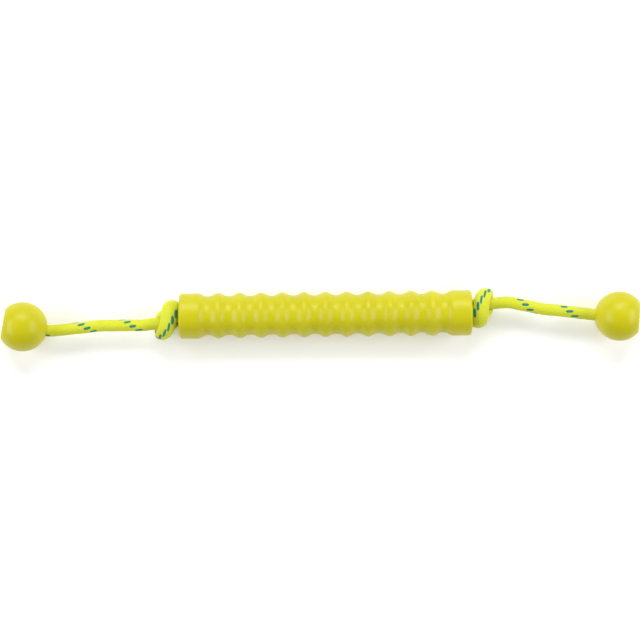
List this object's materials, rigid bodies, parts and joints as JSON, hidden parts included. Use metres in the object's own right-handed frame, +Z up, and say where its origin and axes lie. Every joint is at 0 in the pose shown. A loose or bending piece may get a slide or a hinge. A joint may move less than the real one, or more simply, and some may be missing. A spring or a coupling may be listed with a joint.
{
  "type": "training bumper",
  "caption": "Ribbed cylindrical rubber grip on a rope, knotted at both ends of the grip, with a flat-ended rubber ball on each end of the rope.",
  "frame": {"origin": "on the surface that the bumper lies on, straight below the middle of the ribbed grip", "axes": "+X along the grip towards the right-hand ball, +Y across it, +Z up"},
  "size_m": [0.5128, 0.0459, 0.0395],
  "materials": {
    "rubber": "satin",
    "rope": "braided",
    "foam": "matte",
    "washer": "matte"
  },
  "bodies": {
    "grip": {"ribbed_sleeve": "rubber", "foam_core": "foam"},
    "rope_run": {"rope_through_grip": "rope", "left_grip_knot": "rope", "right_grip_knot": "rope"},
    "left_rope": {"left_inner_rope": "rope"},
    "left_rope_end": {"left_outer_rope": "rope", "left_end_washer": "washer", "left_rope_button": "rope"},
    "left_ball": {"left_ball": "rubber"},
    "right_rope": {"right_inner_rope": "rope"},
    "right_rope_end": {"right_outer_rope": "rope", "right_end_washer": "washer", "right_rope_button": "rope"},
    "right_ball": {"right_ball": "rubber"}
  },
  "joints": [
    {"name": "grip_spin", "type": "hinge", "parent": "grip", "child": "rope_run", "pos_m": [0, 0, 0.018], "axis": [1, 0, 0], "continuous": true},
    {"name": "left_rope_swing", "type": "hinge", "parent": "rope_run", "child": "left_rope", "pos_m": [-0.1465, -0.007, 0.017], "axis": [0, 0, 1], "range_deg": [-70, 70]},
    {"name": "left_rope_flex", "type": "hinge", "parent": "left_rope", "child": "left_rope_end", "pos_m": [-0.2035, -0.0092, 0.0155], "axis": [0, 1, 0], "range_deg": [-60, 60]},
    {"name": "left_ball_spin", "type": "hinge", "parent": "left_rope_end", "child": "left_ball", "pos_m": [-0.2421, -0.007, 0.01975], "axis": [-0.9698, 0.171, 0.1736], "continuous": true},
    {"name": "right_rope_swing", "type": "hinge", "parent": "rope_run", "child": "right_rope", "pos_m": [0.1465, 0.008, 0.017], "axis": [0, 0, 1], "range_deg": [-70, 70]},
    {"name": "right_rope_flex", "type": "hinge", "parent": "right_rope", "child": "right_rope_end", "pos_m": [0.1985, -0.0005, 0.0155], "axis": [0, 1, 0], "range_deg": [-60, 60]},
    {"name": "right_ball_spin", "type": "hinge", "parent": "right_rope_end", "child": "right_ball", "pos_m": [0.2349, -0.004, 0.01975], "axis": [0.9824, -0.0687, 0.1736], "continuous": true}
  ]
}
